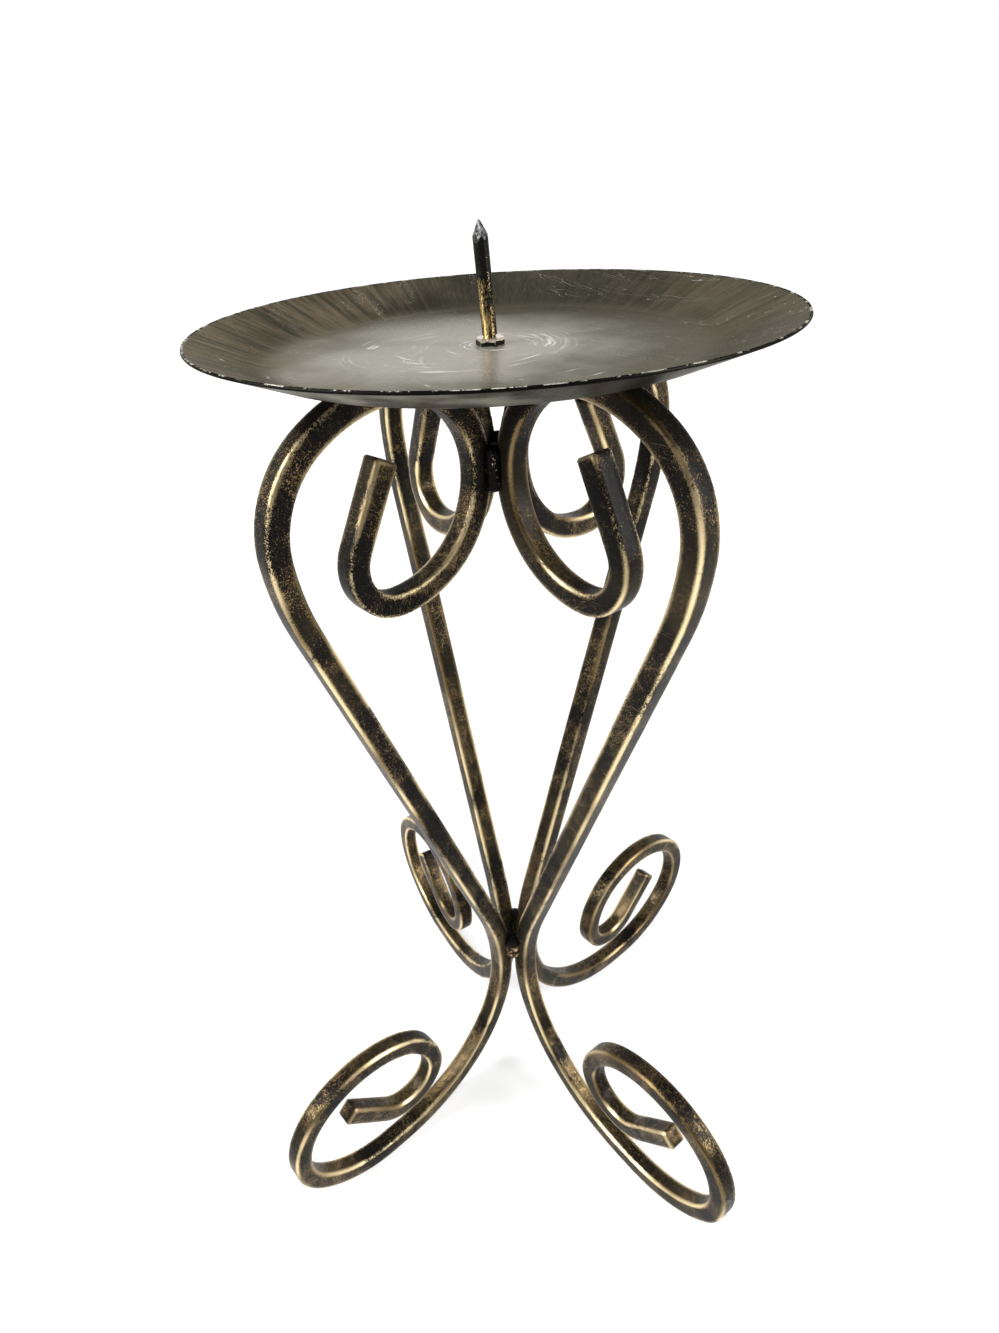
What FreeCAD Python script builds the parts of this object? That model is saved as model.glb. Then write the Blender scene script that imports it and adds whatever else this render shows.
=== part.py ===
import FreeCAD, Part
import math
import os

# Pricket candle stand: four scrolls of square bar, welded to each other at the
# waist and under the dish, carry a round drip dish with a spike in its middle.
# Millimetres and degrees. The origin is on the stand's axis at floor level, and
# +Z is up. Each scroll lies in one upright plane through the axis, and is bent
# cold in one piece from its spiral under the dish to the curl of its foot.

# Square bar
bar_side = 6.0
bar_edge_round = 0.8
bar_end_chamfer = 0.5

# Places of the scrolls round the axis. They were set by hand before they were
# welded, so they stand a few degrees off the quarters of the circle.
scroll_places = {
    "scroll_bar_front_right": 0.0,
    "scroll_bar_back_right": 93.0,
    "scroll_bar_back_left": 171.0,
    "scroll_bar_front_left": 273.0,
}
scroll_clearance = 0.4

# Spiral, from the top of the bar inwards to its free end
spiral_inner_bend = 24.5
spiral_bottom_bend = 26.9
spiral_bottom_turn = 92.0
spiral_tight_bend = 11.8
spiral_end_heading = 117.0
spiral_end_run = 21.8

# Shoulder, from the top of the bar outwards, then the diagonal and the waist
shoulder_top_bend = 39.8
shoulder_top_turn = 34.5
shoulder_side_bend = 26.3
shoulder_low_bend = 72.8
shoulder_low_turn = 15.5
diagonal_lean = 20.0
waist_bend = 78.4

# Leg, foot and curl, from the waist outwards to the free end
leg_bend = 52.5
foot_run = 5.6
curl_foot_bend = 37.0
curl_foot_turn = 49.0
curl_outer_bend = 23.0
curl_outer_turn = 93.0
curl_top_bend = 31.4
curl_top_turn = 68.0
curl_inner_bend = 23.5
curl_inner_turn = 54.0
curl_tight_bend = 12.7
curl_end_heading = 47.0
curl_end_run = 20.6

# Drip dish: a flat floor, a bend, and a straight flared wall up to the rim. The
# bend's radius is a share of how far the rim lies outside the floor.
dish_radius = 70.0
dish_floor_radius = 50.0
dish_bend_share = 0.7
dish_rise = 7.2
dish_sheet = 0.7
dish_rim_round = 0.25
dish_hole_clearance = 0.1

# Spike, with its head under the dish, and the nut that holds it on the dish
spike_diameter = 3.5
spike_thread_core = 2.8
spike_thread_past_nut = 0.45
spike_above_floor = 26.2
spike_point_length = 4.4
spike_tip_diameter = 0.35
spike_facet_turn = 15.0
spike_lean = 3.6
spike_lean_place = 233.0
spike_head_diameter = 7.3
spike_head_height = 1.8
spike_head_round = 0.5
nut_across_flats = 6.0
nut_height = 1.8
nut_bevel_angle = 30.0
nut_clearance = 0.05
nut_turn = 42.0

# Weld beads, as wide, deep and long as they stood before the pieces cut them
waist_bead_width = 6.0
waist_bead_length = 12.0
waist_bead_rise = 8.5
spiral_bead_width = 4.6
spiral_bead_length = 12.5
groove_bead_offset = 0.5
dish_bead_width = 10.0
dish_bead_depth = 2.9
dish_bead_length = 18.0

ORIGIN = FreeCAD.Vector(0.0, 0.0, 0.0)
UP = FreeCAD.Vector(0.0, 0.0, 1.0)
PLANE_NORMAL = FreeCAD.Vector(0.0, -1.0, 0.0)
FULL_TURN = 360.0
QUARTER_TURN = 90.0
half_side = bar_side / 2.0


def heading_vector(heading):
    """Unit vector in the XZ plane: heading 0 is outwards and 90 is up."""
    angle = math.radians(heading)
    return FreeCAD.Vector(math.cos(angle), 0.0, math.sin(angle))


def around(distance, place, height):
    """Point at a distance from the axis, at a place round it."""
    angle = math.radians(place)
    return FreeCAD.Vector(distance * math.cos(angle), distance * math.sin(angle), height)


def neighbour_pairs():
    """Place of each scroll with the place of the next one round the axis."""
    places = sorted(scroll_places.values())
    return list(zip(places, places[1:] + [places[0] + FULL_TURN]))


# The bars stand as near to the axis as the rounded corners of the closest pair
# allow. The middle of a corner's round lies this far across from the bar's line.
closest_angle = min(after - before for before, after in neighbour_pairs())
half_closest = math.radians(closest_angle / 2.0)
corner_across = half_side - bar_edge_round
corner_room = bar_edge_round + scroll_clearance / 2.0
corner_out = (corner_room + corner_across * math.cos(half_closest)) / math.sin(half_closest)
waist_radius = corner_out + corner_across
top_radius = waist_radius + spiral_inner_bend


# The line through the middle of a bar. Each stretch of it is a bend, given as
# (radius, turn), with a turn to the left counted as positive, or a straight run,
# given as (length, None).

def follow(point, heading, stretches):
    """Lay stretches one after another from a point. Returns what each needs to
    become a solid, and where the line ends."""
    laid = []
    for size, turn in stretches:
        if turn is None:
            laid.append((point, heading, size, None))
            point = point + heading_vector(heading) * size
            continue
        side = QUARTER_TURN if turn > 0.0 else -QUARTER_TURN
        centre = point + heading_vector(heading + side) * size
        laid.append((point, heading, turn, centre))
        heading += turn
        point = centre - heading_vector(heading + side) * size
    return laid, point


def spiral_line(top):
    """From the top of the bar inwards, round the spiral to its free end."""
    tight_turn = QUARTER_TURN + spiral_end_heading - spiral_bottom_turn
    stretches = [
        (spiral_inner_bend, QUARTER_TURN),
        (spiral_bottom_bend, spiral_bottom_turn),
        (spiral_tight_bend, tight_turn),
        (spiral_end_run, None),
    ]
    return follow(top, 2.0 * QUARTER_TURN, stretches)


def shoulder_line(top):
    """From the top of the bar outwards and down to where the diagonal starts."""
    side_turn = QUARTER_TURN + diagonal_lean - shoulder_top_turn - shoulder_low_turn
    stretches = [
        (shoulder_top_bend, -shoulder_top_turn),
        (shoulder_side_bend, -side_turn),
        (shoulder_low_bend, -shoulder_low_turn),
    ]
    return follow(top, 0.0, stretches)


def waist_line(shoulder_end):
    """The diagonal is as long as it takes to bring the bar in to the waist."""
    lean = math.radians(diagonal_lean)
    bend_reach = waist_bend * (1.0 - math.cos(lean))
    diagonal_run = (shoulder_end.x - waist_radius - bend_reach) / math.sin(lean)
    stretches = [(diagonal_run, None), (waist_bend, diagonal_lean)]
    return follow(shoulder_end, -QUARTER_TURN - diagonal_lean, stretches)


def leg_line(waist):
    """From the waist down the leg, over the foot and round the curl."""
    tight_turn = (FULL_TURN + curl_end_heading - curl_foot_turn - curl_outer_turn
                  - curl_top_turn - curl_inner_turn)
    stretches = [
        (leg_bend, QUARTER_TURN),
        (foot_run, None),
        (curl_foot_bend, curl_foot_turn),
        (curl_outer_bend, curl_outer_turn),
        (curl_top_bend, curl_top_turn),
        (curl_inner_bend, curl_inner_turn),
        (curl_tight_bend, tight_turn),
        (curl_end_run, None),
    ]
    return follow(waist, -QUARTER_TURN, stretches)


# The line is laid once from height zero to find how far the foot lies below the
# top of the bar. The foot's underside is then the floor.
trial_top = FreeCAD.Vector(top_radius, 0.0, 0.0)
trial_waist = waist_line(shoulder_line(trial_top)[1])[1]
foot_depth = leg_bend - trial_waist.z
bar_top = FreeCAD.Vector(top_radius, 0.0, foot_depth + half_side)

spiral, spiral_end = spiral_line(bar_top)
shoulder, shoulder_end = shoulder_line(bar_top)
waist, waist_point = waist_line(shoulder_end)
leg, curl_end = leg_line(waist_point)
dish_underside = bar_top.z + half_side
dish_floor = dish_underside + dish_sheet
spiral_weld_height = bar_top.z - spiral_inner_bend
waist_bead_height = waist_point.z + waist_bead_rise


def bar_section(point, heading):
    """Square section with rounded corners, across the bar at a point."""
    flat = half_side - bar_edge_round
    corner = half_side - bar_edge_round * (1.0 - math.sqrt(0.5))
    outline = [(half_side, -flat), (half_side, flat), (corner, corner), (flat, half_side)]
    edges = []
    for quarter in range(4):
        angle = math.radians(quarter * QUARTER_TURN)
        cos, sin = math.cos(angle), math.sin(angle)
        points = [FreeCAD.Vector(0.0, y * cos - z * sin, y * sin + z * cos) for y, z in outline]
        edges.append(Part.LineSegment(points[0], points[1]).toShape())
        edges.append(Part.Arc(points[1], points[2], points[3]).toShape())
    face = Part.Face(Part.Wire(edges))
    face.rotate(ORIGIN, PLANE_NORMAL, heading)
    face.translate(point)
    return face


def stretch_solid(stretch):
    """One bend or straight run of a bar."""
    point, heading, amount, centre = stretch
    face = bar_section(point, heading)
    if centre is None:
        return face.extrude(heading_vector(heading) * amount)
    return face.revolve(centre, PLANE_NORMAL, amount)


def free_end_solid(stretch, end):
    """The last straight run of a bar, with its sawn end chamfered."""
    solid = stretch_solid(stretch)
    end_face = min(solid.Faces, key=lambda face: face.CenterOfMass.distanceToPoint(end))
    return solid.makeChamfer(bar_end_chamfer, end_face.Edges)


def scroll_bar():
    """A whole scroll, out along +X."""
    pieces = [stretch_solid(stretch) for stretch in shoulder + waist + spiral[:-1] + leg[:-1]]
    pieces.append(free_end_solid(spiral[-1], spiral_end))
    pieces.append(free_end_solid(leg[-1], curl_end))
    return pieces[0].fuse(pieces[1:]).removeSplitter()


def set_round(shape, place):
    """A copy of a shape, turned round the axis to a place."""
    copy = shape.copy()
    copy.rotate(ORIGIN, UP, place)
    return copy


def drip_dish():
    """The dish as a turned sheet. The wall leaves the floor in a bend, and runs on
    straight, in line with the end of the bend, to the rim."""
    hole_radius = spike_diameter / 2.0 + dish_hole_clearance
    wall_bend = dish_bend_share * (dish_radius - dish_floor_radius)
    bend_centre = FreeCAD.Vector(dish_floor_radius, 0.0, dish_underside + wall_bend)
    low_rim = FreeCAD.Vector(dish_radius, 0.0, dish_underside + dish_rise)
    to_rim = low_rim - bend_centre
    rim_heading = math.degrees(math.atan2(to_rim.z, to_rim.x))
    wall_angle = rim_heading + math.degrees(math.asin(wall_bend / to_rim.Length))

    def bend_point(radius, angle):
        return bend_centre + heading_vector(angle - QUARTER_TURN) * radius

    def bend_arc(radius, first, last):
        angles = (first, (first + last) / 2.0, last)
        return Part.Arc(*[bend_point(radius, angle) for angle in angles]).toShape()

    def line(start, end):
        return Part.LineSegment(start, end).toShape()

    inner_bend = wall_bend - dish_sheet
    top_rim = low_rim + heading_vector(wall_angle + QUARTER_TURN) * dish_sheet
    low_inner = FreeCAD.Vector(hole_radius, 0.0, dish_underside)
    top_inner = FreeCAD.Vector(hole_radius, 0.0, dish_floor)
    outline = Part.Wire([
        line(low_inner, bend_point(wall_bend, 0.0)),
        bend_arc(wall_bend, 0.0, wall_angle),
        line(bend_point(wall_bend, wall_angle), low_rim),
        line(low_rim, top_rim),
        line(top_rim, bend_point(inner_bend, wall_angle)),
        bend_arc(inner_bend, wall_angle, 0.0),
        line(bend_point(inner_bend, 0.0), top_inner),
        line(top_inner, low_inner),
    ])
    dish = Part.Face(outline).revolve(ORIGIN, UP, FULL_TURN)
    rim_low = dish_underside + dish_rise - dish_sheet
    rim_edges = [edge for edge in dish.Edges if edge.Closed and edge.BoundBox.ZMin > rim_low]
    return dish.makeFillet(dish_rim_round, rim_edges)


def spike_shank(start, tip):
    """The shank of the spike with its four-sided point, out of upright by its lean."""
    radius = spike_diameter / 2.0
    foot = FreeCAD.Vector(0.0, 0.0, start)
    shank = Part.makeCylinder(radius, tip - start, foot, UP)
    narrowing = radius - spike_tip_diameter / 2.0
    facet_lean = math.degrees(math.atan2(narrowing, spike_point_length))
    cutter = Part.makeBox(spike_diameter, spike_diameter, 2.0 * spike_point_length)
    cutter.translate(FreeCAD.Vector(0.0, -radius, 0.0))
    cutter.rotate(ORIGIN, PLANE_NORMAL, facet_lean)
    cutter.translate(FreeCAD.Vector(radius, 0.0, tip - spike_point_length))
    turns = [spike_facet_turn + quarter * QUARTER_TURN for quarter in range(4)]
    shank = shank.cut([set_round(cutter, turn) for turn in turns])
    lean_axis = around(1.0, spike_lean_place + QUARTER_TURN, 0.0)
    shank.rotate(foot, lean_axis, spike_lean)
    return shank


def pricket_spike():
    """The spike: a head under the dish, a threaded length up through the nut, drawn
    at its core, then the shank and the point."""
    core_radius = spike_thread_core / 2.0
    thread_end = dish_floor + nut_height + spike_thread_past_nut
    head_low = dish_underside - spike_head_height
    head_base = FreeCAD.Vector(0.0, 0.0, head_low)
    head = Part.makeCylinder(spike_head_diameter / 2.0, spike_head_height, head_base, UP)
    round_top = head_low + spike_head_round
    low_edges = [edge for edge in head.Edges if edge.Closed and edge.BoundBox.ZMax < round_top]
    head = head.makeFillet(spike_head_round, low_edges)
    core_length = thread_end + spike_thread_past_nut - round_top
    core_base = FreeCAD.Vector(0.0, 0.0, round_top)
    core = Part.makeCylinder(core_radius, core_length, core_base, UP)
    shank = spike_shank(thread_end, dish_floor + spike_above_floor)
    return head.fuse([core, shank]).removeSplitter()


def pricket_nut():
    """Hexagon nut, tight on the dish floor, with its top corners bevelled."""
    corner_radius = nut_across_flats / math.sqrt(3.0)
    corners = [around(corner_radius, nut_turn + side * FULL_TURN / 6.0, dish_floor) for side in range(7)]
    nut = Part.Face(Part.makePolygon(corners)).extrude(UP * nut_height)
    flat_radius = nut_across_flats / 2.0
    cone_rise = nut_height + flat_radius * math.tan(math.radians(nut_bevel_angle))
    cone_radius = cone_rise / math.tan(math.radians(nut_bevel_angle))
    base = FreeCAD.Vector(0.0, 0.0, dish_floor)
    bevel = Part.makeCone(cone_radius, 0.0, cone_rise, base, UP)
    bore = Part.makeCylinder(spike_thread_core / 2.0 + nut_clearance, nut_height, base, UP)
    return nut.common(bevel).cut(bore)


def ellipsoid(width, depth, length):
    """Ellipsoid of these sizes along X, Y and Z, centred on the origin."""
    stretch = FreeCAD.Matrix()
    stretch.scale(width / 2.0, depth / 2.0, length / 2.0)
    return Part.makeSphere(1.0).transformGeometry(stretch)


def groove_beads(width, length, height, bars):
    """Beads in the grooves between neighbouring bars, one in each groove: upright
    rods with round ends. The back of a bead is flat, and lies where the rounded
    corners of its two bars come closest."""
    corner_reach = math.hypot(corner_out, corner_across)
    corner_angle = math.degrees(math.atan2(corner_across, corner_out))
    bead_radius = width / 2.0
    shank = length - width
    foot = FreeCAD.Vector(groove_bead_offset, 0.0, -shank / 2.0)
    head = FreeCAD.Vector(groove_bead_offset, 0.0, shank / 2.0)
    behind = Part.makeBox(width, width, length)
    behind.translate(FreeCAD.Vector(-width, -width / 2.0, -length / 2.0))
    whole = Part.makeCylinder(bead_radius, shank, foot, UP)
    whole = whole.fuse([Part.makeSphere(bead_radius, foot), Part.makeSphere(bead_radius, head)])
    whole = whole.removeSplitter().cut(behind)
    beads = []
    for before, after in neighbour_pairs():
        half_angle = (after - before) / 2.0
        groove_reach = corner_reach * math.cos(math.radians(half_angle - corner_angle))
        bead = whole.copy()
        bead.translate(FreeCAD.Vector(groove_reach, 0.0, height))
        pieces = set_round(bead, before + half_angle).cut(bars).Solids
        beads.append(max(pieces, key=lambda piece: piece.Volume))
    return Part.makeCompound(beads)


def dish_beads(bars):
    """Beads between the top of each bar and the underside of the dish."""
    beads = []
    for bar, place in zip(bars, scroll_places.values()):
        bead = ellipsoid(dish_bead_length, dish_bead_width, 2.0 * dish_bead_depth)
        above = Part.makeBox(dish_bead_length, dish_bead_width, dish_bead_depth)
        above.translate(FreeCAD.Vector(-dish_bead_length / 2.0, -dish_bead_width / 2.0, 0.0))
        bead = bead.cut(above)
        bead.translate(FreeCAD.Vector(top_radius, 0.0, dish_underside))
        pieces = set_round(bead, place).cut(bar).Solids
        beads.append(max(pieces, key=lambda piece: piece.Volume))
    return Part.makeCompound(beads)


straight_bar = scroll_bar()
bars = [set_round(straight_bar, place) for place in scroll_places.values()]
parts = dict(zip(scroll_places, bars))
parts["drip_dish"] = drip_dish()
parts["pricket_spike"] = pricket_spike()
parts["pricket_nut"] = pricket_nut()
parts["waist_welds"] = groove_beads(waist_bead_width, waist_bead_length, waist_bead_height, bars)
parts["spiral_welds"] = groove_beads(spiral_bead_width, spiral_bead_length, spiral_weld_height, bars)
parts["dish_welds"] = dish_beads(bars)

os.makedirs("parts", exist_ok=True)
for name, shape in parts.items():
    shape.exportStep("parts/" + name + ".step")
    box = shape.BoundBox
    print(name, shape.isValid(), len(shape.Solids), round(shape.Volume, 1),
          [round(value, 2) for value in (box.XMin, box.YMin, box.ZMin, box.XMax, box.YMax, box.ZMax)])
print("dish underside", round(dish_underside, 3), "waist height", round(waist_point.z, 3),
      "waist radius", round(waist_radius, 3), "foot from", round(leg[1][0].x, 3),
      "diagonal run", round(waist[0][2], 2), "top radius", round(top_radius, 3))
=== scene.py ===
import math

import bmesh
import bpy
from mathutils import Matrix, Vector

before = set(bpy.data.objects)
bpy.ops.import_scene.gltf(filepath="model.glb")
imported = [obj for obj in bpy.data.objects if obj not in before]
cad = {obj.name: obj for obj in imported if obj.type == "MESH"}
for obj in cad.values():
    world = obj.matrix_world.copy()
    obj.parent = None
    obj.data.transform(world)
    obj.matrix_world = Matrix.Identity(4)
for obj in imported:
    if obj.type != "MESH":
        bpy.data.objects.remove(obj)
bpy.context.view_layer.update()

# Pricket candle stand: the looks of the four scrolls of bronzed black bar, the
# brushed drip dish, the rubbed spike with its nut, and the welds. Metres, in the
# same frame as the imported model. The front right scroll lies along +X.

scene = bpy.context.scene


def extent(node):
    """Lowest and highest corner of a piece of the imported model."""
    points = [vertex.co for vertex in cad[node].data.vertices]
    low = Vector([min(point[axis] for point in points) for axis in range(3)])
    high = Vector([max(point[axis] for point in points) for axis in range(3)])
    return low, high


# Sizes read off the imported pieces
rim_radius = extent("drip_dish")[1].x
nut_low, nut_top = extent("pricket_nut")[0].z, extent("pricket_nut")[1].z
waist_weld_low = extent("waist_welds")[0].z
tip_height = extent("pricket_spike")[1].z
spike_height = tip_height - nut_top

# Places round the axis of the planes that the scrolls are bent in, in degrees,
# and the shift of the finish of each
scroll_places = {
    "scroll_bar_front_right": (0.0, (0.0, 0.0, 0.0)),
    "scroll_bar_back_right": (93.0, (0.31, 0.12, 0.07)),
    "scroll_bar_back_left": (171.0, (0.17, 0.43, 0.21)),
    "scroll_bar_front_left": (273.0, (0.52, 0.26, 0.33)),
}

# The side between the two front scrolls, and the side of the spike that the
# bronze is rubbed on most and that carries a painted reflection streak, as directions
front_side = (0.73, -0.68, 0.0)
painted_reflection_side_of_spike = (0.54, -0.84, 0.0)

# How far the bronze and the painted highlight reach round a bar's corner, and how round the corner
# looks
corner_reach = 0.0024
corner_rounding = 0.0025

# The bars are rubbed a little more towards the foot: up to the first of these
# heights in full, and no longer above the second
foot_wear = (0.02, 0.20)

# How far up the waist weld the bronze is rubbed, how softly it ends there, and
# how far in front of the axis a weld counts as a front one
waist_rub_rise = 0.0078
waist_rub_end = 0.0006
front_weld_start = (0.0025, 0.0040)

# How far the bronze reaches in from the edges of the nut, and how softly it ends
# on its flats
nut_edge_reach = 0.0004
nut_rub_end = 0.0001

# Where the finish changes on the dish, as shares of the radius of its rim
wall_start = (0.68, 0.80)
lip_start = (0.9875, 0.9920)

# Where it changes on the spike, as shares of its height above the nut
bronze_thins_out = (0.38, 0.72)
bare_point_start = (0.835, 0.865)

# Sides of the dish that tan is rubbed in on, and the side that carries painted shade
tan_left = (-0.67, -0.74, 0.0)
tan_right = (0.42, 0.91, 0.0)
painted_shade_side = (0.57 / rim_radius, 0.82 / rim_radius, 0.0)

# Scuffed arcs on the floor of the dish: the centre, the inner and outer radius,
# how fine the lines are, and how much of each arc shows
dish_scuffs = [
    ((0.001, 0.001, 0.0), 0.0048, 0.019, 900.0, 0.22),
    ((-0.004, -0.006, 0.0), 0.010, 0.032, 700.0, 0.14),
    ((0.012, -0.004, 0.0), 0.018, 0.040, 800.0, 0.08),
]

# Depth of the fine relief in each finish
bar_relief = 0.00005
brushed_relief = 0.00003
spike_relief = 0.00008
nut_relief = 0.00006
weld_relief = 0.00008

# How much the paint of each finish mirrors
bar_shine = 0.05
dish_shine = 0.25
spike_shine = 0.07
nut_shine = 0.07
weld_shine = 0.05

# Finishes, as linear colours
black_paint = (0.0045, 0.0040, 0.0032, 1.0)
olive_paint = (0.022, 0.017, 0.009, 1.0)
rubbed_bronze = (0.185, 0.130, 0.060, 1.0)
# Pale bronze: on the bar corners it is partly a painted highlight
pale_bronze = (0.92, 0.74, 0.43, 1.0)
gold_bronze = (0.60, 0.44, 0.20, 1.0)
red_bronze = (0.165, 0.098, 0.052, 1.0)
gunmetal = (0.54, 0.53, 0.48, 1.0)
# Darker gunmetal of the outer floor and the right side: partly wear, partly painted shade
worn_and_shaded_gunmetal = (0.110, 0.104, 0.078, 1.0)
wall_olive = (0.096, 0.092, 0.068, 1.0)
dark_olive = (0.044, 0.042, 0.030, 1.0)
dish_glint = (0.50, 0.48, 0.43, 1.0)
# Painted shade for the surfaces of the dish that face down
underside_painted_shade = (0.040, 0.037, 0.031, 1.0)
underside_worn = (0.32, 0.31, 0.27, 1.0)
tan_rub = (0.31, 0.245, 0.160, 1.0)
scuffed_metal = (0.92, 0.91, 0.86, 1.0)
bare_steel = (0.15, 0.15, 0.15, 1.0)
bright_chip = (0.62, 0.59, 0.52, 1.0)
bright_bevel = (0.97, 0.86, 0.74, 1.0)
white = (1.0, 1.0, 1.0, 1.0)


def add(tree, kind, values=None, **settings):
    """Put a node in a tree. Values go to its inputs, as numbers or as links."""
    made = tree.nodes.new(kind)
    for name, value in settings.items():
        setattr(made, name, value)
    for socket, value in (values or {}).items():
        if isinstance(value, bpy.types.NodeSocket):
            tree.links.new(value, made.inputs[socket])
        else:
            made.inputs[socket].default_value = value
    return made


def math_of(tree, operation, first, *others, clamp=False):
    """Apply an operation to the values, from left to right."""
    result = first
    for other in others or (0.0,):
        made = add(tree, "ShaderNodeMath", {0: result, 1: other},
                   operation=operation, use_clamp=clamp)
        result = made.outputs[0]
    return result


def blend_of(tree, *parts):
    """Add up values, each of them times its share."""
    weighed = [math_of(tree, "MULTIPLY", value, share) for value, share in parts]
    return math_of(tree, "ADD", *weighed)


def vector_of(tree, operation, first, second=(0.0, 0.0, 0.0), output="Vector"):
    made = add(tree, "ShaderNodeVectorMath", {0: first, 1: second}, operation=operation)
    return made.outputs[output]


def stretch_of(tree, value, low, high, to_low=0.0, to_high=1.0, smooth=True):
    """Map a value from one range to another, and keep it inside."""
    values = {"Value": value, "From Min": low, "From Max": high,
              "To Min": to_low, "To Max": to_high}
    kind = "SMOOTHSTEP" if smooth else "LINEAR"
    return add(tree, "ShaderNodeMapRange", values, interpolation_type=kind).outputs["Result"]


def noise_of(tree, where, scale, detail=2.0, roughness=0.5):
    values = {"Vector": where, "Scale": scale, "Detail": detail, "Roughness": roughness}
    return add(tree, "ShaderNodeTexNoise", values).outputs["Fac"]


def colour_mix(tree, share, first, second):
    values = {0: share, 6: first, 7: second}
    return add(tree, "ShaderNodeMix", values, data_type="RGBA").outputs[2]


def place_of(tree):
    """Object coordinates."""
    return add(tree, "ShaderNodeTexCoord").outputs["Object"]


def facing_of(tree):
    """The direction that the surface faces."""
    return add(tree, "ShaderNodeNewGeometry").outputs["Normal"]


def upward_part(tree, vector):
    """The height of a place, or how far a direction points up."""
    return add(tree, "ShaderNodeSeparateXYZ", {0: vector}).outputs["Z"]


def along_axis(tree, distance):
    """A vector along the axis of the stand."""
    return add(tree, "ShaderNodeCombineXYZ", {"Z": distance}).outputs[0]


def spot(tree, shift=(0.0, 0.0, 0.0)):
    """Object coordinates, moved so that no two pieces wear the same pattern."""
    values = {"Vector": place_of(tree), "Location": shift}
    return add(tree, "ShaderNodeMapping", values).outputs["Vector"]


def bump(tree, height, distance, under=None):
    """Fine relief, over the plain surface or over a softened one."""
    values = {"Height": height, "Distance": distance}
    if under is not None:
        values["Normal"] = under
    return add(tree, "ShaderNodeBump", values).outputs["Normal"]


def new_group(name, inputs, outputs):
    """An empty shader group with named number or vector sockets."""
    tree = bpy.data.node_groups.new(name, "ShaderNodeTree")
    for label, value in inputs.items():
        kind = "NodeSocketVector" if isinstance(value, tuple) else "NodeSocketFloat"
        socket = tree.interface.new_socket(label, in_out="INPUT", socket_type=kind)
        socket.default_value = value
    for label in outputs:
        tree.interface.new_socket(label, in_out="OUTPUT", socket_type="NodeSocketFloat")
    return tree, tree.nodes.new("NodeGroupInput").outputs, tree.nodes.new("NodeGroupOutput").inputs


def use_group(tree, group, values):
    return add(tree, "ShaderNodeGroup", values, node_tree=group).outputs


def worn_edge_group():
    """Mask of the edges that a rubbing cloth reaches, broken up by the wear."""
    tree, given, out = new_group("Worn edge", {"Reach": 0.001, "Where": (0.0, 0.0, 0.0)}, ["Edge"])
    bevelled = add(tree, "ShaderNodeBevel", {"Radius": given["Reach"]}, samples=6).outputs["Normal"]
    agree = vector_of(tree, "DOT_PRODUCT", bevelled, facing_of(tree), "Value")
    turned = math_of(tree, "SUBTRACT", 1.0, agree)
    edge = stretch_of(tree, turned, 0.004, 0.10)
    broken = stretch_of(tree, noise_of(tree, given["Where"], 420.0, 3.0), 0.30, 0.62, 0.35, 1.0)
    tree.links.new(math_of(tree, "MULTIPLY", edge, broken), out["Edge"])
    return tree


def bar_edge_group():
    """Mask of the corners of a bar that is bent in one plane, as wide as the reach
    that the rubbing cloth has on each side of them. The bars also lay a painted
    highlight along it."""
    inputs = {"Reach": 0.001, "Across": (0.0, 1.0, 0.0)}
    tree, given, out = new_group("Bar corners", inputs, ["Corner"])
    softened = add(tree, "ShaderNodeBevel", {"Radius": given["Reach"]}, samples=8).outputs["Normal"]
    across = vector_of(tree, "DOT_PRODUCT", softened, given["Across"], "Value")
    squared = math_of(tree, "MULTIPLY", across, across)
    rest = math_of(tree, "SUBTRACT", 1.0, squared)
    corner = math_of(tree, "MULTIPLY", math_of(tree, "MULTIPLY", squared, rest), 4.0, clamp=True)
    tree.links.new(corner, out["Corner"])
    return tree


def rub_group():
    """Speckle that a nearly dry cloth leaves: fine grain inside larger patches."""
    inputs = {"Where": (0.0, 0.0, 0.0), "Grain": 2600.0, "Patch": 90.0, "Cover": 0.4}
    tree, given, out = new_group("Dry rub", inputs, ["Rub", "Grain"])
    grain = noise_of(tree, given["Where"], given["Grain"], 3.0, 0.65)
    patch = noise_of(tree, given["Where"], given["Patch"], 4.0, 0.55)
    middle = noise_of(tree, given["Where"], math_of(tree, "MULTIPLY", given["Patch"], 6.0), 2.0)
    blend = blend_of(tree, (grain, 0.66), (patch, 0.20), (middle, 0.14))
    limit = math_of(tree, "SUBTRACT", 0.80, math_of(tree, "MULTIPLY", given["Cover"], 0.60))
    above = math_of(tree, "SUBTRACT", blend, limit)
    tree.links.new(stretch_of(tree, above, -0.03, 0.06), out["Rub"])
    tree.links.new(grain, out["Grain"])
    return tree


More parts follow.
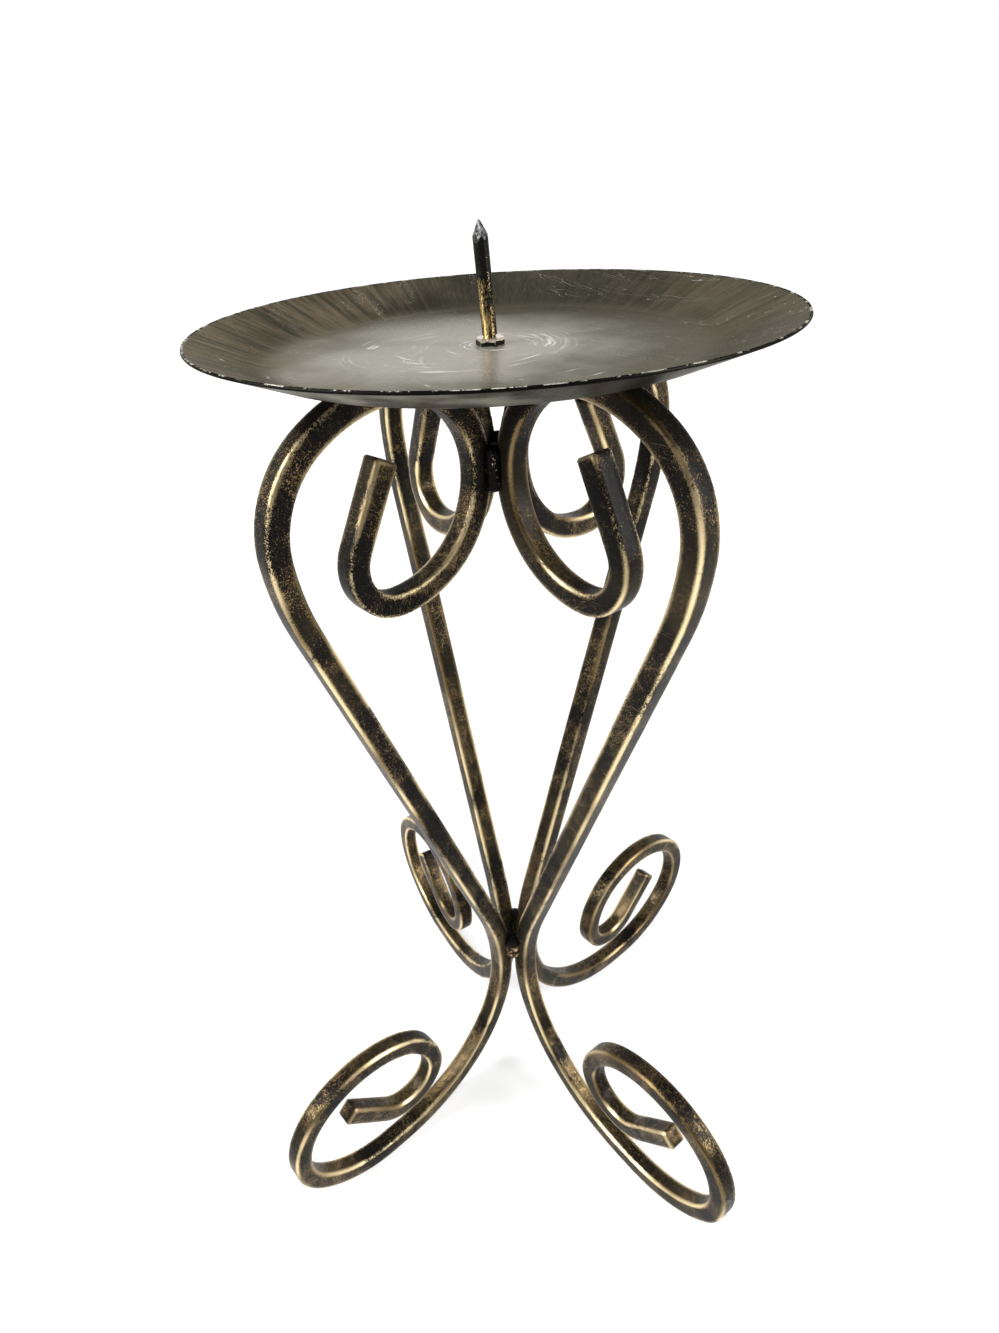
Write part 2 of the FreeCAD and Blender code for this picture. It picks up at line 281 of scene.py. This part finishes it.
def scratch_group():
    """Fine scratches in three directions, each a thin line that fades at its ends."""
    inputs = {"Where": (0.0, 0.0, 0.0), "Size": 60.0, "Amount": 0.5}
    tree, given, out = new_group("Scratches", inputs, ["Scratch"])
    found = None
    for turn in (0.35, 1.7, 2.6):
        values = {
            "Vector": given["Where"],
            "Rotation": (turn * 0.7, turn, turn * 1.3),
            "Scale": (1.0, 14.0, 14.0),
        }
        turned = add(tree, "ShaderNodeMapping", values).outputs["Vector"]
        lines = noise_of(tree, turned, given["Size"], 1.0, 0.4)
        ridge = math_of(tree, "ABSOLUTE", math_of(tree, "SUBTRACT", lines, 0.5))
        thin = stretch_of(tree, ridge, 0.0, 0.007, 1.0, 0.0)
        shown = noise_of(tree, turned, math_of(tree, "MULTIPLY", given["Size"], 0.23), 1.0)
        limit = math_of(tree, "SUBTRACT", 0.78, math_of(tree, "MULTIPLY", given["Amount"], 0.3))
        length = stretch_of(tree, math_of(tree, "SUBTRACT", shown, limit), 0.0, 0.06)
        part = math_of(tree, "MULTIPLY", thin, length)
        found = part if found is None else math_of(tree, "MAXIMUM", found, part)
    tree.links.new(found, out["Scratch"])
    return tree


worn_edge = worn_edge_group()
bar_edge = bar_edge_group()
dry_rub = rub_group()
scratches = scratch_group()


def cleared_tree(owner):
    """The node tree of a material or of the world, with nothing in it."""
    owner.use_nodes = True
    owner.node_tree.nodes.clear()
    return owner.node_tree


def new_material(name):
    material = bpy.data.materials.new(name)
    tree = cleared_tree(material)
    shader = add(tree, "ShaderNodeBsdfPrincipled")
    add(tree, "ShaderNodeOutputMaterial", {"Surface": shader.outputs[0]})
    return material, tree, shader


def feed(tree, shader, **links):
    for name, value in links.items():
        tree.links.new(value, shader.inputs[name.replace("_", " ")])


def bronzed_bar(name, place, shift):
    """Black paint on square bar, rubbed with bronze in a fine speckle, thickest on
    the corners and towards the foot, and pale in long patches along the corners,
    partly worn bright by polishing and partly a painted highlight."""
    material, tree, shader = new_material(name)
    angle = math.radians(place)
    across = (-math.sin(angle), math.cos(angle), 0.0)
    where = spot(tree, shift)
    height = upward_part(tree, place_of(tree))
    corner = use_group(tree, bar_edge, {"Reach": corner_reach, "Across": across})["Corner"]
    reach = noise_of(tree, where, 38.0, 3.0, 0.55)
    strong = stretch_of(tree, reach, 0.36, 0.60)
    patches = stretch_of(tree, noise_of(tree, where, 55.0, 4.0, 0.6), 0.36, 0.64, 0.30, 0.445)
    low_down = stretch_of(tree, height, *foot_wear, 0.05, 0.0)
    on_corner = math_of(tree, "MULTIPLY", corner, stretch_of(tree, strong, 0.0, 1.0, 0.14, 0.54))
    cover = math_of(tree, "ADD", on_corner, low_down, patches)
    grains = {"Where": where, "Grain": 2700.0, "Patch": 120.0, "Cover": cover}
    rubbed = use_group(tree, dry_rub, grains)
    scratch = use_group(tree, scratches, {"Where": where, "Size": 70.0, "Amount": 0.5})["Scratch"]
    bronze = math_of(tree, "MAXIMUM", rubbed["Rub"], math_of(tree, "MULTIPLY", scratch, 0.5))

    paint = colour_mix(tree, stretch_of(tree, reach, 0.45, 0.72), black_paint, olive_paint)
    # Pale bronze in long patches on the corners: partly polishing wear, partly a painted highlight
    polish_and_highlight_patches = stretch_of(tree, noise_of(tree, where, 27.0, 2.0, 0.45), 0.38, 0.56)
    polish_and_painted_highlight = math_of(tree, "MULTIPLY", stretch_of(tree, corner, 0.12, 0.80), polish_and_highlight_patches)
    tint = noise_of(tree, where, 150.0, 2.0)
    metal = colour_mix(tree, stretch_of(tree, tint, 0.50, 0.82), rubbed_bronze, red_bronze)
    metal = colour_mix(tree, polish_and_painted_highlight, metal, pale_bronze)
    colour = colour_mix(tree, bronze, paint, metal)

    rough = stretch_of(tree, rubbed["Grain"], 0.25, 0.75, 0.25, 0.40)
    relief = math_of(tree, "ADD", rubbed["Grain"], math_of(tree, "MULTIPLY", scratch, -0.8))
    rounded = add(tree, "ShaderNodeBevel", {"Radius": corner_rounding}, samples=8).outputs["Normal"]
    feed(tree, shader, Base_Color=colour, Metallic=bronze, Roughness=rough,
         Normal=bump(tree, relief, bar_relief, under=rounded))
    shader.inputs["Specular IOR Level"].default_value = bar_shine
    return material


def arc_marks(tree, where, centre, inner, outer, fineness, share):
    """Scuffs that run round a centre between two radii, each a broken thin arc."""
    reach = vector_of(tree, "SUBTRACT", where, centre)
    flat = vector_of(tree, "MULTIPLY", reach, (1.0, 1.0, 0.0))
    radius = vector_of(tree, "LENGTH", flat, output="Value")
    turn = vector_of(tree, "NORMALIZE", flat)
    along = along_axis(tree, math_of(tree, "MULTIPLY", radius, fineness))
    place = vector_of(tree, "ADD", vector_of(tree, "MULTIPLY", turn, (0.9, 0.9, 0.9)), along)
    line = stretch_of(tree, noise_of(tree, place, 1.0, 3.0, 0.6), 0.55, 0.66)
    inside = math_of(tree, "MULTIPLY", stretch_of(tree, radius, inner, inner * 1.25),
                     stretch_of(tree, radius, outer * 0.7, outer, 1.0, 0.0))
    shown = stretch_of(tree, noise_of(tree, where, 70.0, 3.0), 0.62 - share, 0.72 - share)
    return math_of(tree, "MULTIPLY", line, inside, shown)


def dish_metal():
    """Brushed gunmetal, pale round the nut and dark olive up the wall, where the
    streaks run outwards. The floor darkens outwards and to one side as painted
    shade, and the dark wall is partly a painted reflection. Tan is rubbed in on two
    sides, the floor is scuffed in swirls, and the lip is black with bright chips."""
    material, tree, shader = new_material("Brushed dish metal")
    where = spot(tree)
    flat = vector_of(tree, "MULTIPLY", where, (1.0, 1.0, 0.0))
    radius = vector_of(tree, "LENGTH", flat, output="Value")
    outward = vector_of(tree, "NORMALIZE", flat)
    along = along_axis(tree, math_of(tree, "MULTIPLY", radius, 1.3))
    streak_place = vector_of(tree, "ADD", outward, along)
    fine_streak = noise_of(tree, streak_place, 260.0, 2.0, 0.6)
    broad_streak = noise_of(tree, streak_place, 34.0, 3.0, 0.55)
    clouds = noise_of(tree, where, 30.0, 4.0, 0.55)
    grain = noise_of(tree, where, 1500.0, 3.0, 0.6)
    share_of_rim = math_of(tree, "DIVIDE", radius, rim_radius)
    wall = stretch_of(tree, share_of_rim, *wall_start)
    rim = stretch_of(tree, share_of_rim, 0.45, 0.95)
    upward = upward_part(tree, facing_of(tree))
    below = stretch_of(tree, upward, -0.3, 0.3, 1.0, 0.0)

    # Floor and wall. The floor darkens outwards and to the right as painted shade,
    # with clouds of wear; the dark wall is partly a painted reflection
    darker = vector_of(tree, "DOT_PRODUCT", flat, painted_shade_side, "Value")
    clouds_and_painted_light = math_of(tree, "ADD", share_of_rim, stretch_of(tree, clouds, 0.3, 0.7, -0.12, 0.12),
                     math_of(tree, "MULTIPLY", darker, 0.30))
    floor_wear_and_painted_light = colour_mix(tree, stretch_of(tree, clouds_and_painted_light, 0.20, 0.72), gunmetal, worn_and_shaded_gunmetal)
    streaky = blend_of(tree, (fine_streak, 0.6), (clouds, 0.4))
    wall_colour = colour_mix(tree, stretch_of(tree, streaky, 0.30, 0.68), dark_olive, wall_olive)
    colour = colour_mix(tree, wall, floor_wear_and_painted_light, wall_colour)

    # Tan, rubbed outwards in streaks
    left_side = vector_of(tree, "DOT_PRODUCT", outward, tan_left, "Value")
    right_side = vector_of(tree, "DOT_PRODUCT", outward, tan_right, "Value")
    rubbed_side = math_of(tree, "MAXIMUM", stretch_of(tree, left_side, -0.1, 0.95),
                          stretch_of(tree, right_side, 0.60, 1.0, 0.0, 0.45))
    share = blend_of(tree, (broad_streak, 0.55), (clouds, 0.45))
    tan = math_of(tree, "MULTIPLY", stretch_of(tree, share, 0.36, 0.68), rim,
                  stretch_of(tree, fine_streak, 0.30, 0.62, 0.72, 1.0),
                  stretch_of(tree, rubbed_side, 0.0, 1.0, 0.12, 0.95))
    colour = colour_mix(tree, tan, colour, tan_rub)
    # Surfaces that face down are dark as painted shade, with lighter worn patches at random
    worn_below = stretch_of(tree, clouds, 0.46, 0.64)
    underside = colour_mix(tree, worn_below, underside_painted_shade, underside_worn)
    colour = colour_mix(tree, below, colour, underside)

    # Scratches, scuffed arcs and flecks
    scratch = use_group(tree, scratches, {"Where": where, "Size": 40.0, "Amount": 0.6})["Scratch"]
    scuff = math_of(tree, "MAXIMUM", *[arc_marks(tree, where, *arc) for arc in dish_scuffs])
    mark = math_of(tree, "MAXIMUM", math_of(tree, "MULTIPLY", scratch, 0.6), scuff)
    mark = math_of(tree, "MULTIPLY", mark, math_of(tree, "SUBTRACT", 1.0, below))
    colour = colour_mix(tree, math_of(tree, "MULTIPLY", mark, 0.85), colour, scuffed_metal)
    flecks = stretch_of(tree, noise_of(tree, where, 190.0, 2.0, 0.7), 0.735, 0.755)
    colour = colour_mix(tree, math_of(tree, "MULTIPLY", flecks, 0.7), colour, bright_chip)

    # The lip, chipped along its crest
    lip = stretch_of(tree, share_of_rim, *lip_start)
    chips = stretch_of(tree, noise_of(tree, where, 320.0, 4.0, 0.7), 0.50, 0.56)
    on_crest = stretch_of(tree, upward, 0.50, 0.85)
    colour = colour_mix(tree, lip, colour, black_paint)
    colour = colour_mix(tree, math_of(tree, "MULTIPLY", lip, chips, on_crest), colour, bright_chip)

    dings = stretch_of(tree, noise_of(tree, where, 115.0, 1.0), 0.74, 0.80)
    rough = math_of(tree, "ADD", stretch_of(tree, grain, 0.25, 0.75, 0.26, 0.38),
                    stretch_of(tree, clouds, 0.3, 0.7, -0.05, 0.07),
                    math_of(tree, "MULTIPLY", mark, 0.15), math_of(tree, "MULTIPLY", wall, 0.10))
    relief = blend_of(tree, (fine_streak, wall), (mark, -0.6), (grain, 0.35), (dings, -3.0))
    feed(tree, shader, Base_Color=colour, Roughness=rough,
         Normal=bump(tree, relief, brushed_relief))
    shader.inputs["Metallic"].default_value = 0.85
    shader.inputs["Specular IOR Level"].default_value = dish_shine
    shader.inputs["Specular Tint"].default_value = dish_glint
    return material


def spike_metal():
    """Black paint, rubbed with bronze that thins out between a third and two thirds
    of the height and is pale along one side as a painted reflection, and dull steel at the point."""
    material, tree, shader = new_material("Rubbed spike metal")
    where = spot(tree, (0.3, 0.1, 0.0))
    height = upward_part(tree, place_of(tree))
    risen = math_of(tree, "DIVIDE", math_of(tree, "SUBTRACT", height, nut_top), spike_height)
    worn = noise_of(tree, where, 700.0, 2.0)
    ragged = math_of(tree, "ADD", risen, stretch_of(tree, worn, 0.3, 0.7, -0.04, 0.04))
    bare = stretch_of(tree, ragged, *bare_point_start)
    painted = stretch_of(tree, ragged, *bronze_thins_out)
    streak_place = vector_of(tree, "MULTIPLY", where, (1.0, 1.0, 0.12))
    streaks = noise_of(tree, streak_place, 900.0, 3.0, 0.6)
    # That side is rubbed more and carries a pale streak, which is a painted reflection
    facing = vector_of(tree, "DOT_PRODUCT", facing_of(tree), painted_reflection_side_of_spike, "Value")
    rubbed_side = stretch_of(tree, facing, 0.45, 0.95)
    on_side = math_of(tree, "MULTIPLY", rubbed_side, stretch_of(tree, painted, 0.0, 1.0, 0.15, 0.0))
    cover = math_of(tree, "ADD", stretch_of(tree, painted, 0.0, 1.0, 0.40, 0.22), on_side,
                    stretch_of(tree, streaks, 0.3, 0.7, -0.10, 0.14))
    grains = {"Where": where, "Grain": 2200.0, "Patch": 420.0, "Cover": cover}
    rubbed = use_group(tree, dry_rub, grains)

    # The pale streak: a painted reflection
    pale = math_of(tree, "MULTIPLY", stretch_of(tree, streaks, 0.46, 0.66), rubbed_side)
    metal = colour_mix(tree, pale, rubbed_bronze, gold_bronze)
    colour = colour_mix(tree, rubbed["Rub"], black_paint, metal)
    steel = colour_mix(tree, stretch_of(tree, worn, 0.35, 0.65), black_paint, bare_steel)
    colour = colour_mix(tree, bare, colour, steel)

    metallic = math_of(tree, "MAXIMUM", rubbed["Rub"], math_of(tree, "MULTIPLY", bare, 0.8))
    rough = math_of(tree, "ADD", stretch_of(tree, rubbed["Grain"], 0.25, 0.75, 0.26, 0.42),
                    math_of(tree, "MULTIPLY", bare, 0.12))
    relief = math_of(tree, "ADD", rubbed["Grain"], worn)
    feed(tree, shader, Base_Color=colour, Metallic=metallic, Roughness=rough,
         Normal=bump(tree, relief, spike_relief))
    shader.inputs["Specular IOR Level"].default_value = spike_shine
    return material


def nut_metal():
    """Black nut rubbed bright on its top, its bevel and the upper part of its flats;
    the faces that point up are made bright partly as a painted highlight.
    """
    material, tree, shader = new_material("Rubbed nut metal")
    where = spot(tree, (0.2, 0.5, 0.0))
    # Faces that point up are bright: partly rubbing, partly a painted highlight
    top = stretch_of(tree, upward_part(tree, facing_of(tree)), 0.15, 0.50)
    height = upward_part(tree, place_of(tree))
    worn = noise_of(tree, where, 600.0, 2.0)
    uneven = math_of(tree, "ADD", height, stretch_of(tree, worn, 0.3, 0.7, -0.0002, 0.0002))
    rubbed_from = 0.38 * nut_low + 0.62 * nut_top
    upper = stretch_of(tree, uneven, rubbed_from - nut_rub_end, rubbed_from + nut_rub_end,
                       0.0, 0.85)
    edge = use_group(tree, worn_edge, {"Reach": nut_edge_reach, "Where": where})["Edge"]
    bright = math_of(tree, "MAXIMUM", top, math_of(tree, "MULTIPLY", edge, 0.6), upper)
    cover = stretch_of(tree, bright, 0.0, 1.0, 0.26, 1.0)
    grains = {"Where": where, "Grain": 2200.0, "Patch": 380.0, "Cover": cover}
    rubbed = use_group(tree, dry_rub, grains)
    metal = colour_mix(tree, bright, rubbed_bronze, bright_bevel)
    colour = colour_mix(tree, rubbed["Rub"], black_paint, metal)
    rough = stretch_of(tree, rubbed["Grain"], 0.25, 0.75, 0.22, 0.40)
    feed(tree, shader, Base_Color=colour, Metallic=rubbed["Rub"], Roughness=rough,
         Normal=bump(tree, rubbed["Grain"], nut_relief))
    shader.inputs["Specular IOR Level"].default_value = nut_shine
    return material


def weld_metal(name, most, rubbed_up_to, shift):
    """Weld beads, painted over with the bars. Those on the front side are rubbed on
    their high spots, up to a height and with the most cover that are given."""
    material, tree, shader = new_material(name)
    where = spot(tree, shift)
    plain = place_of(tree)
    lumps = noise_of(tree, where, 480.0, 3.0, 0.55)
    forward = vector_of(tree, "DOT_PRODUCT", plain, front_side, "Value")
    low_enough = stretch_of(tree, upward_part(tree, plain), rubbed_up_to - waist_rub_end,
                            rubbed_up_to + waist_rub_end, 1.0, 0.0)
    in_front = stretch_of(tree, forward, *front_weld_start)
    reached = math_of(tree, "MULTIPLY", low_enough, in_front)
    on_lumps = stretch_of(tree, lumps, 0.35, 0.70, most - 0.30, most)
    cover = math_of(tree, "ADD", 0.10, math_of(tree, "MULTIPLY", on_lumps, reached))
    grains = {"Where": where, "Grain": 2000.0, "Patch": 180.0, "Cover": cover}
    rubbed = use_group(tree, dry_rub, grains)
    metal = colour_mix(tree, stretch_of(tree, lumps, 0.45, 0.70), red_bronze, pale_bronze)
    colour = colour_mix(tree, rubbed["Rub"], black_paint, metal)
    rough = stretch_of(tree, rubbed["Grain"], 0.25, 0.75, 0.30, 0.50)
    relief = math_of(tree, "ADD", math_of(tree, "MULTIPLY", lumps, 8.0), rubbed["Grain"])
    feed(tree, shader, Base_Color=colour, Metallic=rubbed["Rub"], Roughness=rough,
         Normal=bump(tree, relief, weld_relief))
    shader.inputs["Specular IOR Level"].default_value = weld_shine
    return material


def dress(node, material):
    """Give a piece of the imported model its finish."""
    mesh = cad[node].data
    mesh.materials.clear()
    mesh.materials.append(material)


for node, (place, shift) in scroll_places.items():
    dress(node, bronzed_bar("Bronzed " + node.replace("_", " "), place, shift))
dress("drip_dish", dish_metal())
dress("pricket_spike", spike_metal())
dress("pricket_nut", nut_metal())
painted_weld = weld_metal("Painted weld metal", 0.34, tip_height, (0.4, 0.2, 0.0))
dress("spiral_welds", painted_weld)
dress("dish_welds", painted_weld)
rubbed_up_to = waist_weld_low + waist_rub_rise
dress("waist_welds", weld_metal("Rubbed weld metal", 0.66, rubbed_up_to, (0.1, 0.4, 0.2)))


# The studio: how wide the floor is to each side, between which distances it turns
# plain white, which way the far side of the room is and how bright it is there
# and on the near side
floor_reach = 12.0
floor_whitens = (0.15, 0.9)
far_side_of_room = (-0.82, 0.57, 0.0)
near_side_level = 0.10
far_side_level = 0.85
far_side_level_mirrored = 1.0

# Lamps: the place, the height on the axis that it is aimed at, its width and
# height, and its power
lamps = {
    "left_lamp": ((-0.18, -0.56, 0.56), 0.17, 0.18, 0.46, 8.5),
    "right_lamp": ((0.56, 0.34, 0.50), 0.17, 0.18, 0.46, 7.0),
    "top_lamp": ((0.30, -0.24, 0.95), 0.20, 0.24, 0.24, 2.5),
}

# Camera: its place, and its heading, tilt and roll in degrees
camera_place = (0.15975, -0.12829, 0.31214)
camera_turns = (55.041, 57.532, -4.300)


def pale_floor():
    """A matt pale floor that looks white to the camera and in reflections, and
    still takes the object's shadow. Further out it is plain white."""
    material = bpy.data.materials.new("Pale studio floor")
    tree = cleared_tree(material)
    reach = vector_of(tree, "LENGTH", place_of(tree), output="Value")
    glow = stretch_of(tree, reach, *floor_whitens, 0.66, 1.0)
    lit = add(tree, "ShaderNodeBsdfDiffuse", {"Color": (0.78, 0.78, 0.77, 1.0)})
    soft = add(tree, "ShaderNodeBsdfDiffuse", {"Color": (0.36, 0.36, 0.36, 1.0)})
    shine = add(tree, "ShaderNodeEmission", {"Color": white, "Strength": glow})
    both = add(tree, "ShaderNodeAddShader", {0: soft.outputs[0], 1: shine.outputs[0]})
    path = add(tree, "ShaderNodeLightPath").outputs
    seen = math_of(tree, "MAXIMUM", path["Is Camera Ray"], path["Is Glossy Ray"],
                   path["Is Transmission Ray"])
    mixed = add(tree, "ShaderNodeMixShader", {0: seen, 1: lit.outputs[0], 2: both.outputs[0]})
    add(tree, "ShaderNodeOutputMaterial", {"Surface": mixed.outputs[0]})
    return material


def make_floor():
    shape = bmesh.new()
    bmesh.ops.create_grid(shape, x_segments=1, y_segments=1, size=floor_reach)
    mesh = bpy.data.meshes.new("studio_floor")
    shape.to_mesh(mesh)
    shape.free()
    mesh.materials.append(pale_floor())
    floor = bpy.data.objects.new("studio_floor", mesh)
    scene.collection.objects.link(floor)


def make_world():
    """White to the camera, and white behind the object in reflections. The room is
    darker overhead and on the side that the camera stands on."""
    world = bpy.data.worlds.new("Studio room")
    scene.world = world
    tree = cleared_tree(world)
    look = add(tree, "ShaderNodeTexCoord").outputs["Generated"]
    away = vector_of(tree, "DOT_PRODUCT", look, far_side_of_room, "Value")
    sideways = stretch_of(tree, upward_part(tree, look), 0.40, 0.85, 1.0, 0.0)
    open_side = math_of(tree, "MULTIPLY", stretch_of(tree, away, -0.25, 0.55), sideways)
    path = add(tree, "ShaderNodeLightPath").outputs
    mirrored = math_of(tree, "MAXIMUM", path["Is Glossy Ray"], path["Is Transmission Ray"])
    far_side = stretch_of(tree, mirrored, 0.0, 1.0, far_side_level, far_side_level_mirrored,
                          smooth=False)
    room = stretch_of(tree, open_side, 0.0, 1.0, near_side_level, far_side, smooth=False)
    levels = {0: path["Is Camera Ray"], 2: room, 3: 1.0}
    level = add(tree, "ShaderNodeMix", levels, data_type="FLOAT").outputs[0]
    shine = add(tree, "ShaderNodeBackground", {"Color": white, "Strength": level})
    add(tree, "ShaderNodeOutputWorld", {"Surface": shine.outputs[0]})


def soft_lamp(name, place, aim_height, width, height, power):
    """A rectangular lamp that is aimed at the axis of the stand."""
    lamp = bpy.data.lights.new(name, "AREA")
    lamp.shape = "RECTANGLE"
    lamp.size = width
    lamp.size_y = height
    lamp.energy = power
    stand = bpy.data.objects.new(name, lamp)
    scene.collection.objects.link(stand)
    stand.location = place
    aim = Vector((0.0, 0.0, aim_height)) - Vector(place)
    stand.rotation_mode = "QUATERNION"
    stand.rotation_quaternion = aim.to_track_quat("-Z", "Y")


def make_camera():
    """Close to the dish and above it, looking down, with a slight roll."""
    camera = bpy.data.objects.new("Camera", bpy.data.cameras.new("Camera"))
    scene.collection.objects.link(camera)
    heading, tilt, roll = [math.radians(angle) for angle in camera_turns]
    turn = (Matrix.Rotation(heading, 4, "Z") @ Matrix.Rotation(tilt, 4, "X")
            @ Matrix.Rotation(roll, 4, "Z"))
    camera.matrix_world = Matrix.Translation(camera_place) @ turn
    camera.data.sensor_width = 36.0
    camera.data.lens = 22.18
    camera.data.shift_x = 0.0320
    camera.data.shift_y = 0.0016
    camera.data.clip_start = 0.005
    scene.camera = camera


make_camera()
make_floor()
make_world()
for name, lamp in lamps.items():
    soft_lamp(name, *lamp)

scene.view_settings.view_transform = "Standard"
